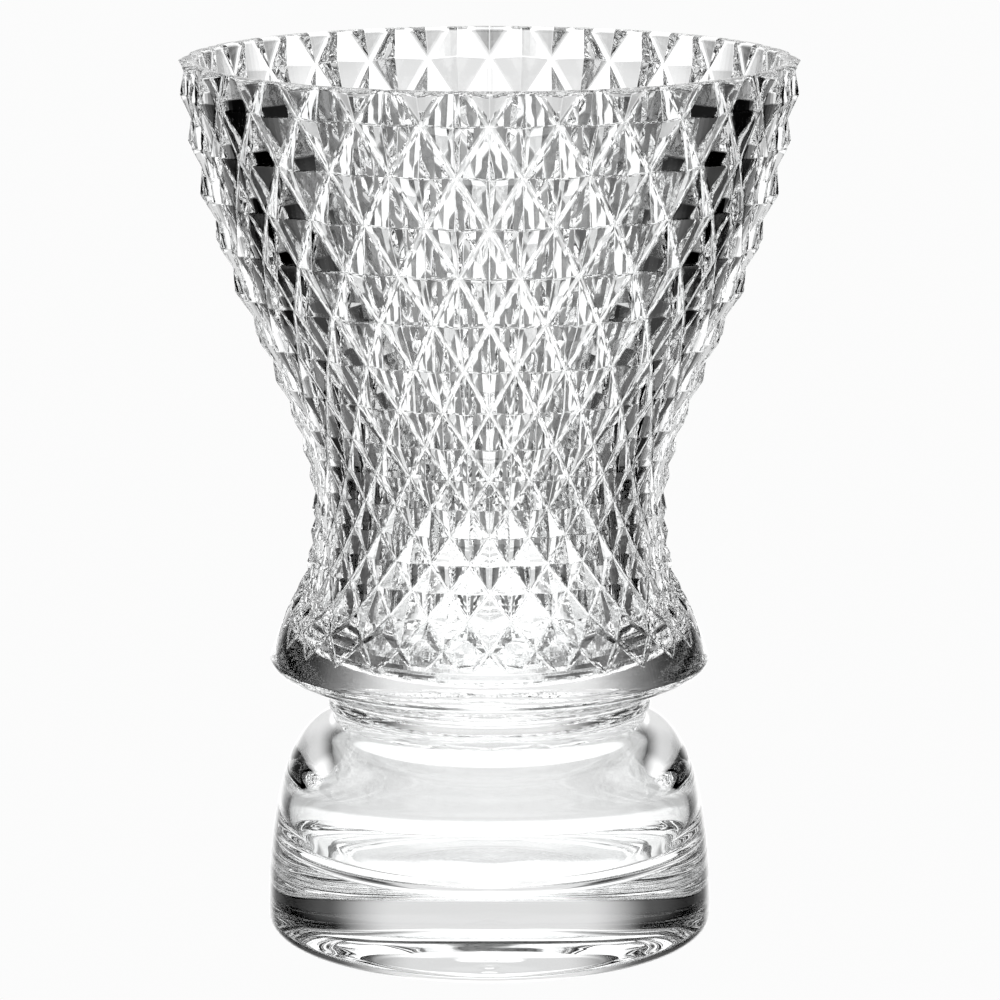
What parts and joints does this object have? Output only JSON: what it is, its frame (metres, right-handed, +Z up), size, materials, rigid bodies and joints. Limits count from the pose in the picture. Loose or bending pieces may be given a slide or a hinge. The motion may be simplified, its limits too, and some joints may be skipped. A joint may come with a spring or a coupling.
{
  "type": "cut crystal vase",
  "caption": "Waisted crystal vase with a diamond-point cut bowl on a smooth clear foot that holds an air bubble.",
  "frame": {"origin": "centre of the foot's underside, on the surface the vase stands on", "axes": "+Z up along the vase's axis of revolution; -Y is the side seen from the front, where a groove crossing of the first full row lies"},
  "size_m": [0.1734, 0.1734, 0.25],
  "materials": {
    "cut_crystal": "diamond-point cut and polished colourless lead crystal",
    "clear_crystal": "fire-polished smooth colourless lead crystal"
  },
  "bodies": {
    "root": {"cut_bowl": "cut_crystal", "neck_merese": "clear_crystal", "bubble_foot": "clear_crystal"}
  },
  "joints": []
}
